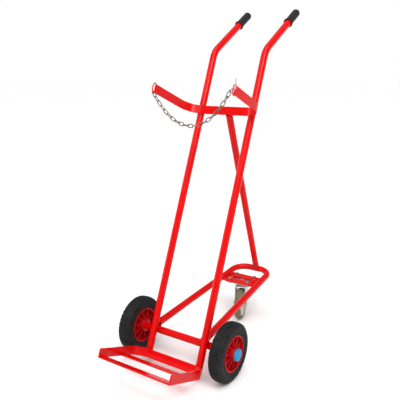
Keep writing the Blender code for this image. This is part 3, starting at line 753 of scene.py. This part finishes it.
def leg_inside(y, top):
    """Half the clear width between the hoop's legs at height top."""
    centre = HOOP_LEG_X - math.tan(HOOP_TAPER) * y
    rise = max(0.0, HOOP_START_Z + y * hoop_slope() - top)
    reach = TUBE_R + 2 * GAP
    return centre - math.sqrt(reach * reach - rise * rise) - GAP


def build_carrier(name, paint, root):
    """Level plate between the hoop's legs, with a window between its two bolt rows."""
    top = CARRIER_Z + FLAT_T
    near = CASTOR_Y - CARRIER_DEPTH / 2
    far = CASTOR_Y + CARRIER_DEPTH / 2
    stations = [near + (far - near) * i / 4 for i in range(5)]
    right = [Vector((leg_inside(y, top), y, CARRIER_Z)) for y in stations]
    left = [Vector((-p.x, p.y, p.z)) for p in reversed(right)]
    bm = bmesh.new()
    prism(bm, right + left, Z_AXIS, FLAT_T)
    plate = add(name, bm, paint, root, smooth=False)
    holes = bmesh.new()
    half_x, half_y = CARRIER_WINDOW[0] / 2, CARRIER_WINDOW[1] / 2
    low = (-half_x, CASTOR_Y - half_y, CARRIER_Z - 0.01)
    box(holes, low, (half_x, CASTOR_Y + half_y, top + 0.01))
    for place in bolt_places():
        turned(holes, [(BOLT_HOLE_R, CARRIER_Z - 0.01), (BOLT_HOLE_R, top + 0.01)], Z_AXIS, 24, place)
    carve(plate, holes, "cut_carrier_openings")
    soften(plate, 0.0006)


def build_top_plate(name, paint, root):
    width, depth, thickness = TOP_PLATE
    top = CARRIER_Z - GAP
    bm = bmesh.new()
    low = (-width / 2, CASTOR_Y - depth / 2, top - thickness)
    box(bm, low, (width / 2, CASTOR_Y + depth / 2, top))
    plate = add(name, bm, paint, root, smooth=False)
    holes = bmesh.new()
    for place in bolt_places():
        turned(holes, [(BOLT_HOLE_R, top - 0.01), (BOLT_HOLE_R, top + 0.01)], Z_AXIS, 12, place)
    centre = Vector((0, CASTOR_Y, 0))
    turned(holes, [(KINGPIN_R + GAP, top - 0.01), (KINGPIN_R + GAP, top + 0.01)], Z_AXIS, 12, centre)
    carve(plate, holes, "cut_top_plate_holes")
    soften(plate, 0.0005)


def plate_bottom():
    return CARRIER_Z - GAP - TOP_PLATE[2]


def build_race_cup(name, paint, root):
    """The fixed half of the swivel bearing, under the top plate."""
    top = plate_bottom() - GAP
    bottom = top - CUP_DEPTH
    profile = [(0.0270, top), (0.0285, top - 0.002), (0.0285, bottom), (0.0120, bottom), (0.0120, top)]
    bm = bmesh.new()
    turned(bm, profile, Z_AXIS, 64, Vector((0, CASTOR_Y, 0)), closed=True)
    add(name, bm, paint, root)


def build_kingpin(name, paint, root):
    top = CARRIER_Z - GAP
    low = CROWN_TOP - FORK_SHEET - 0.0062
    profile = [
        (KINGPIN_R, low),
        (KINGPIN_R, top + GAP),
        (0.0088, top + GAP),
        (0.0088, top + 0.0025),
        (0.0060, top + 0.0042),
    ]
    bm = bmesh.new()
    turned(bm, profile, Z_AXIS, 32, Vector((0, CASTOR_Y, 0)))
    add(name, bm, paint, root)


def fork_outline():
    """Side of the fork, seen along its axle: a crown over the swivel, tapering to a round foot."""
    foot = Vector((0, -CASTOR_TRAIL, CASTOR_R))
    y_dir = Vector((0, 1, 0))
    ends = arc(foot, y_dir, Z_AXIS, 0.0125, math.radians(-200), math.radians(10), 24)
    crown = [
        Vector((0, 0.0290, CROWN_TOP - 0.016)),
        Vector((0, 0.0290, CROWN_TOP)),
        Vector((0, -0.0290, CROWN_TOP)),
        Vector((0, -0.0340, CROWN_TOP - 0.014)),
    ]
    return ends + crown


def build_fork(name, paint, swivel):
    outline = [p - X_AXIS * FORK_HALF_W for p in fork_outline()]
    bm = bmesh.new()
    prism(bm, outline, X_AXIS, 2 * FORK_HALF_W)
    fork = add(name, bm, paint, swivel, smooth=False)
    inside = FORK_HALF_W - FORK_SHEET
    hollow = bmesh.new()
    box(hollow, (-inside, -0.10, 0.0), (inside, 0.10, CROWN_TOP - FORK_SHEET))
    carve(fork, hollow, "cut_fork_inside")
    holes = bmesh.new()
    turned(holes, [(KINGPIN_R + GAP, 0.12), (KINGPIN_R + GAP, 0.15)], Z_AXIS, 12)
    foot = Vector((0, -CASTOR_TRAIL, CASTOR_R))
    turned(holes, [(CASTOR_AXLE_R + GAP, -0.03), (CASTOR_AXLE_R + GAP, 0.03)], X_AXIS, 12, foot)
    carve(fork, holes, "cut_fork_holes")
    soften(fork, 0.0008)


def build_castor_wheel(paints, wheel):
    core_r = CASTOR_R - 0.0135
    half = [
        (core_r, 0.0115),
        (core_r - 0.0006, 0.0120),
        (core_r - 0.0044, 0.0120),
        (core_r - 0.0052, 0.0113),
        (core_r - 0.0070, 0.0066),
        (core_r - 0.0085, 0.0056),
        (0.0200, 0.0056),
        (0.0178, 0.0068),
        (0.0162, 0.0165),
        (0.0150, 0.0180),
        (0.0078, 0.0180),
    ]
    core = bmesh.new()
    turned(core, mirrored(half), X_AXIS, 72, closed=True)
    add("castor_wheel_core", core, paints["pale_plastic"], wheel)
    half = [
        (CASTOR_R, 0.0040),
        (CASTOR_R - 0.0006, 0.0074),
        (CASTOR_R - 0.0022, 0.0103),
        (CASTOR_R - 0.0045, 0.0125),
        (CASTOR_R - 0.0078, CASTOR_HALF_W),
        (core_r + 0.0020, CASTOR_HALF_W - 0.0003),
        (core_r + GAP, CASTOR_HALF_W - 0.0012),
    ]
    tread = bmesh.new()
    turned(tread, mirrored(half), X_AXIS, 96, closed=True)
    add("castor_tread", tread, paints["grey_rubber"], wheel)


# Safety chain -------------------------------------------------------------------------------


def band_tip(side):
    """Middle of the band's end face: its centre line, halfway up."""
    splay = BAND_SPLAY_RIGHT if side > 0 else BAND_SPLAY_LEFT
    depth = flat_depth(BAND_CORNER_X, BAND_CORNER_R)
    x, f = corner_points(side, BAND_CORNER_X, BAND_CORNER_R, BAND_REACH, splay, depth)[-1]
    return on_upright(0, BAND_S, f) + X_AXIS * x


def build_loop(name, side, paint, root):
    """Half-oval wire eye on the end of a wing, in the wing's own upright plane."""
    centre = band_tip(side) + FORWARD * LOOP_OUT
    path = [centre - ALONG * LOOP_R - FORWARD * LOOP_LEG]
    for i in range(25):
        turn = math.pi * i / 24 - math.pi / 2
        out = FORWARD * LOOP_REACH * math.cos(turn)
        path.append(centre + out + ALONG * LOOP_R * math.sin(turn))
    path.append(centre + ALONG * LOOP_R - FORWARD * LOOP_LEG)
    bm = bmesh.new()
    swept(bm, path, LOOP_WIRE_R, WIRE_SIDES)
    add(name, bm, paint, root)


def chain_start():
    """Middle of the first link's top wire, inside the left eye."""
    return band_tip(-1) + FORWARD * 0.0034 - ALONG * 0.0126 - X_AXIS * 0.0024


def hook_cross():
    """Middle of the hook's wire where it passes through the right eye."""
    return band_tip(1) + FORWARD * (LOOP_OUT + LOOP_REACH - 2 * LOOP_WIRE_R - GAP)


def chain_end():
    """Middle of the end link's top wire, over the hook's arm."""
    arm = hook_cross() + Vector((-HOOK_IN, -0.5 * HOOK_ARM, -HOOK_DROP))
    return arm + Vector((0.0027, 0, 0.0034))


def catenary(start, end, length):
    """Gives point(distance along) for a chain of this length hung between two points."""
    span = math.hypot(end.x - start.x, end.y - start.y)
    rise = end.z - start.z
    wanted = math.sqrt(length * length - rise * rise)
    low, high = 0.01, 10.0
    for _ in range(60):
        a = (low + high) / 2
        if 2 * a * math.sinh(span / 2 / a) > wanted:
            low = a
        else:
            high = a
    shift = span / 2 - a * math.asinh(rise / (2 * a * math.sinh(span / 2 / a)))
    first = a * math.sinh(-shift / a)

    def point(along):
        u = shift + a * math.asinh((along + first) / a)
        z = a * (math.cosh((u - shift) / a) - math.cosh(shift / a))
        part = u / span
        level = start + (end - start) * part
        return Vector((level.x, level.y, start.z + z))

    return point


def add_link(bm, middle, direction, normal, half_l, half_w, corner=9, sides=10):
    """One oval link of round wire, lying along direction and square to normal."""
    across = normal.cross(direction).normalized()
    path = []
    for end in (1, -1):
        centre = middle + direction * end * (half_l - half_w)
        turns = [math.pi * i / (corner - 1) for i in range(corner)]
        path += [centre + half_w * end * (math.cos(t) * across + math.sin(t) * direction) for t in turns]
    rings = []
    for i, point in enumerate(path):
        ahead = (path[(i + 1) % len(path)] - path[i - 1]).normalized()
        rings.append(circle(point, normal, ahead.cross(normal), LINK_WIRE_R, sides))
    skin(bm, rings, closed=True)


def build_chain(paint, root):
    """The run of small links, touching as they do under their own weight, and the larger end link."""
    start, end = chain_start(), chain_end()
    first = LINK_HALF_L
    last_bow = first + (LINK_COUNT - 1) * LINK_PITCH + LINK_HALF_L
    end_middle = last_bow - 2 * LINK_WIRE_R - 3 * GAP + END_LINK_HALF_L
    length = end_middle + END_LINK_HALF_L
    point = catenary(start, end, length)
    run = end - start
    flat_normal = Z_AXIS.cross(Vector((run.x, run.y, 0)).normalized())
    links = bmesh.new()
    for i in range(LINK_COUNT):
        along = first + i * LINK_PITCH
        low, high = point(along - LINK_HALF_L), point(along + LINK_HALF_L)
        direction = (high - low).normalized()
        normal = flat_normal if i % 2 == 0 else flat_normal.cross(direction)
        add_link(links, (low + high) / 2, direction, normal, LINK_HALF_L, LINK_HALF_W)
    add("chain", links, paint, root)
    low, high = point(end_middle - END_LINK_HALF_L), point(length)
    direction = (high - low).normalized()
    end_link = bmesh.new()
    add_link(end_link, (low + high) / 2, direction, flat_normal, END_LINK_HALF_L, END_LINK_HALF_W)
    add("chain_end_link", end_link, paint, root)


def build_hook(name, paint, root):
    """Wire hook: a tail up the wing's outside, through the eye, down, then an arm with a raised tip."""
    cross = hook_cross()
    corners = [
        cross + Vector((HOOK_OUT, 0, HOOK_TAIL)),
        cross + Vector((HOOK_OUT, 0, 0)),
        cross + Vector((-HOOK_IN, 0, 0)),
        cross + Vector((-HOOK_IN, 0, -HOOK_DROP)),
        cross + Vector((-HOOK_IN, -HOOK_ARM, -HOOK_DROP)),
        cross + Vector((-HOOK_IN, -HOOK_ARM, HOOK_TIP - HOOK_DROP)),
    ]
    bm = bmesh.new()
    swept(bm, rounded(corners, HOOK_BEND_R, 8), LOOP_WIRE_R, WIRE_SIDES)
    add(name, bm, paint, root)


# Camera, floor and light --------------------------------------------------------------------


def set_camera():
    azimuth, elevation, roll = (math.radians(a) for a in (33.093, 14.416, -0.403))
    right = Vector((math.cos(azimuth), math.sin(azimuth), 0))
    level = Vector((math.sin(azimuth), -math.cos(azimuth), 0))
    back = level * math.cos(elevation) + Z_AXIS * math.sin(elevation)
    up = back.cross(right)
    right, up = (
        math.cos(roll) * right + math.sin(roll) * up,
        math.cos(roll) * up - math.sin(roll) * right,
    )
    data = bpy.data.cameras.new("camera")
    data.sensor_width = 36.0
    data.lens = 46.82
    camera = bpy.data.objects.new("camera", data)
    bpy.context.scene.collection.objects.link(camera)
    turn = Matrix((right, up, back)).transposed().to_4x4()
    camera.matrix_world = Matrix.Translation((0.938, -1.320 + AXLE_Y, 1.002)) @ turn
    bpy.context.scene.camera = camera


def set_stage():
    mesh = bpy.data.meshes.new("floor")
    half = 30.0
    corners = [(-half, -half, 0), (half, -half, 0), (half, half, 0), (-half, half, 0)]
    mesh.from_pydata(corners, [], [(0, 1, 2, 3)])
    floor = bpy.data.objects.new("floor", mesh)
    bpy.context.scene.collection.objects.link(floor)
    whites = ((0.95, 0.95, 0.95), (0.97, 0.97, 0.97))
    mesh.materials.append(surface("pale_floor", whites, 2.0, (0.6, 0.7), (0.0, 50.0, 0.001)))
    bpy.context.scene.world = studio_sky()
    bpy.context.scene.view_settings.view_transform = "Standard"


def studio_sky():
    """A white studio: bright at the horizon and overhead, dimmer between, to give edges some shade."""
    world = bpy.data.worlds.new("studio")
    world.use_nodes = True
    nodes, links = world.node_tree.nodes, world.node_tree.links
    place = nodes.new("ShaderNodeTexCoord")
    parts = nodes.new("ShaderNodeSeparateXYZ")
    links.new(place.outputs["Generated"], parts.inputs["Vector"])
    ramp = nodes.new("ShaderNodeValToRGB")
    stops = ramp.color_ramp.elements
    stops[0].position, stops[0].color = 0.0, (1.0, 1.0, 1.0, 1.0)
    stops[1].position, stops[1].color = 1.0, (0.75, 0.75, 0.75, 1.0)
    for position, level in ((0.16, 1.0), (0.30, 0.34), (0.70, 0.34)):
        stops.new(position).color = (level, level, level, 1.0)
    links.new(parts.outputs["Z"], ramp.inputs["Fac"])
    links.new(ramp.outputs["Color"], nodes["Background"].inputs["Color"])
    nodes["Background"].inputs["Strength"].default_value = 1.0
    return world


def softbox(name, place, target, size, watts):
    data = bpy.data.lights.new(name, "AREA")
    data.shape = "RECTANGLE"
    data.size, data.size_y = size
    data.energy = watts
    light = bpy.data.objects.new(name, data)
    bpy.context.scene.collection.objects.link(light)
    light.location = place
    light.rotation_euler = (Vector(target) - Vector(place)).to_track_quat("-Z", "Y").to_euler()


def set_lights():
    data = bpy.data.lights.new("overhead", "SUN")
    data.energy = 2.1
    data.angle = math.radians(70)
    overhead = bpy.data.objects.new("overhead", data)
    bpy.context.scene.collection.objects.link(overhead)
    overhead.rotation_euler = Vector((-0.25, 0.45, -1.0)).to_track_quat("-Z", "Y").to_euler()
    softbox("key", (1.9, -1.6, 3.0), (0, 0, 0.5), (1.2, 1.2), 40)
    softbox("fill", (-2.6, -1.4, 1.8), (0, 0, 0.6), (0.5, 2.4), 22)


def repaint_cad(nodes, paints, record):
    slots = {part["node"]: part["material_slot"] for part in record["subparts"]}
    for name, node in nodes.items():
        for slot in node.material_slots:
            slot.material = paints[slots[name]]


# Welds --------------------------------------------------------------------------------------


def weld_ring(bm, path):
    """A bead of round section along a closed path."""
    rings = []
    count = len(path)
    for i, point in enumerate(path):
        ahead = (path[(i + 1) % count] - path[i - 1]).normalized()
        side = ahead.orthogonal().normalized() if i == 0 else (last - ahead * last.dot(ahead)).normalized()
        last = side
        rings.append(circle(point, side, ahead.cross(side), 0.0019 + 0.0002 * math.sin(i * 2.4), 8))
    skin(bm, rings, closed=True)


def cope_path(origin, direction, radius, point, along, reach):
    """Where a tube of this radius meets a cylinder through point: a closed loop of points."""
    side = direction.orthogonal().normalized()
    up = direction.cross(side)
    loop = []
    for start in circle(origin, side, up, radius, 40):
        offset = start - point
        flat = offset - along * offset.dot(along)
        heading = direction - along * direction.dot(along)
        a, b, c = heading.dot(heading), flat.dot(heading), flat.dot(flat) - reach * reach
        loop.append(start + direction * ((-b - math.sqrt(max(0.0, b * b - a * c))) / a))
    return loop


def contact_ring(centre, normal, radius=0.0072):
    """A small ring in the tangent plane between two crossing tubes."""
    side = normal.orthogonal().normalized()
    return circle(centre, side, normal.cross(side), radius, 24)


def build_welds(paint, seat):
    bm = bmesh.new()
    slope = math.atan(hoop_slope())
    for side in (-1, 1):
        weld_ring(bm, contact_ring(Vector((side * UPRIGHT_X, -TUBE_R, WHEEL_R)), Vector((0, 1, 0))))
        weld_ring(bm, contact_ring(Vector((side * HOOP_LEG_X, 0, WHEEL_R + TUBE_R)), Z_AXIS))
        lean = math.tan(HOOP_TAPER)
        forward = Vector((side * lean * math.cos(slope), -math.cos(slope), -math.sin(slope))).normalized()
        start = Vector((side * (HOOP_LEG_X - lean * 0.06), 0.06, HOOP_START_Z + 0.06 * hoop_slope()))
        weld_ring(bm, cope_path(start, forward, TUBE_R, on_upright(side, 0), ALONG, TUBE_R))
        for bottom in (BAND_S - FLAT_W / 2, TOE_S):
            for edge in (-1, 1):
                low = on_upright(side, bottom + 0.002, TUBE_R - 0.0012) + X_AXIS * edge * 0.0058
                swept(bm, [low, low + ALONG * (FLAT_W - 0.004)], 0.0017, 8)
        inside = side * (TOE_CORNER_X + TOE_CORNER_R - FLAT_T / 2 - 0.0006)
        for front in (TOE_REACH, TOE_MID_F + FLAT_W / 2):
            start = on_upright(0, TOE_S + FLAT_T + 0.0006, front - 0.003) + X_AXIS * inside
            swept(bm, [start, start - FORWARD * (FLAT_W - 0.006)], 0.0016, 8)
    back_face = flat_depth(BAND_CORNER_X, BAND_CORNER_R) - FLAT_T / 2
    top = on_upright(0, BAND_S + STAY_TOP_S, back_face - 0.0005) + X_AXIS * STAY_TOP_X
    bottom = Vector((STAY_BOTTOM_X, HOOP_APEX_Y, HOOP_APEX_Z))
    down = (bottom - top).normalized()
    weld_ring(bm, cope_path(top + down * 0.2, down, TUBE_R, bottom, X_AXIS, TUBE_R))
    side = (X_AXIS - down * down.x).normalized()
    loop = circle(top, side, down.cross(side), TUBE_R, 40)
    loop = [p + down * (top - p).dot(FORWARD) / down.dot(FORWARD) for p in loop]
    middle = on_upright(0, BAND_S, back_face)
    edge = FLAT_W / 2 - 0.002
    highs = [(p - middle).dot(ALONG) for p in loop]
    weld_ring(bm, [p + ALONG * (max(-edge, min(edge, s)) - s) for p, s in zip(loop, highs)])
    add("weld_beads", bm, paint, seat, stands_for=[])


# The whole trolley --------------------------------------------------------------------------


def build_wheel(label, side, paints):
    wheel = (Matrix.Translation((side * WHEEL_X, AXLE_Y, WHEEL_R)), "wheel_" + label)
    build_tyre("tyre_" + label, paints["black_rubber"], wheel)
    build_wheel_centre("wheel_centre_" + label, paints["red_plastic"], wheel)
    build_hub_cap("hub_cap_" + label, side, paints["blue_plastic"], wheel)


def build_frame(red, fixed):
    splays = (BAND_SPLAY_LEFT, BAND_SPLAY_RIGHT)
    band = (BAND_CORNER_X, BAND_CORNER_R, BAND_REACH, splays, BAND_S - FLAT_W / 2)
    build_bent_flat("cylinder_band", *band, red, fixed)
    toe = (TOE_CORNER_X, TOE_CORNER_R, TOE_REACH, (0.0, 0.0), TOE_S)
    build_bent_flat("toe_rim", *toe, red, fixed)
    build_toe_bar("toe_front_bar", TOE_REACH, red, fixed)
    build_toe_bar("toe_mid_bar", TOE_MID_F + FLAT_W / 2, red, fixed)
    build_hoop("rear_hoop", red, fixed)
    build_stay("centre_stay", red, fixed)
    build_axle_tube("axle_tube", red, fixed)
    build_welds(red, fixed)
    build_carrier("castor_carrier", red, fixed)


def build_castor(paints, shift, fixed):
    build_top_plate("castor_top_plate", paints["zinc_plate"], fixed)
    build_race_cup("castor_race_cup", paints["zinc_plate"], fixed)
    build_kingpin("castor_kingpin", paints["zinc_plate"], fixed)
    turn = Matrix.Rotation(CASTOR_TURN, 4, "Z")
    swivel = (shift @ Matrix.Translation((0, CASTOR_Y, 0)) @ turn, "castor_fork")
    build_fork("castor_fork", paints["zinc_plate"], swivel)
    rolling = (swivel[0] @ Matrix.Translation((0, -CASTOR_TRAIL, CASTOR_R)), "castor_wheel")
    build_castor_wheel(paints, rolling)


def soften_fixings(nodes):
    names = ["castor_axle_bolt", "castor_axle_nut", "castor_kingpin_nut"]
    for number in range(1, 5):
        names += [f"carrier_bolt_{number}", f"carrier_nut_{number}"]
    for name in names:
        soften(nodes[name], 0.0004)


def main():
    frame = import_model()
    paints = make_paints()
    repaint_cad(frame["nodes"], paints, frame["record"])
    set_camera()
    set_stage()
    set_lights()
    shift = Matrix.Translation((0, AXLE_Y, 0))
    fixed = (shift, "frame")
    for label, side in (("left", -1), ("right", 1)):
        build_upright("upright_" + label, side, paints["red_paint"], fixed)
        build_grip("grip_" + label, side, paints["black_vinyl"], fixed)
        build_loop("chain_eye_" + label, side, paints["red_paint"], fixed)
        build_wheel(label, side, paints)
    build_frame(paints["red_paint"], fixed)
    build_castor(paints, shift, fixed)
    build_chain(paints["chain_steel"], (shift, "safety_chain"))
    build_hook("chain_hook", paints["zinc_plate"], fixed)
    soften_fixings(frame["nodes"])


main()
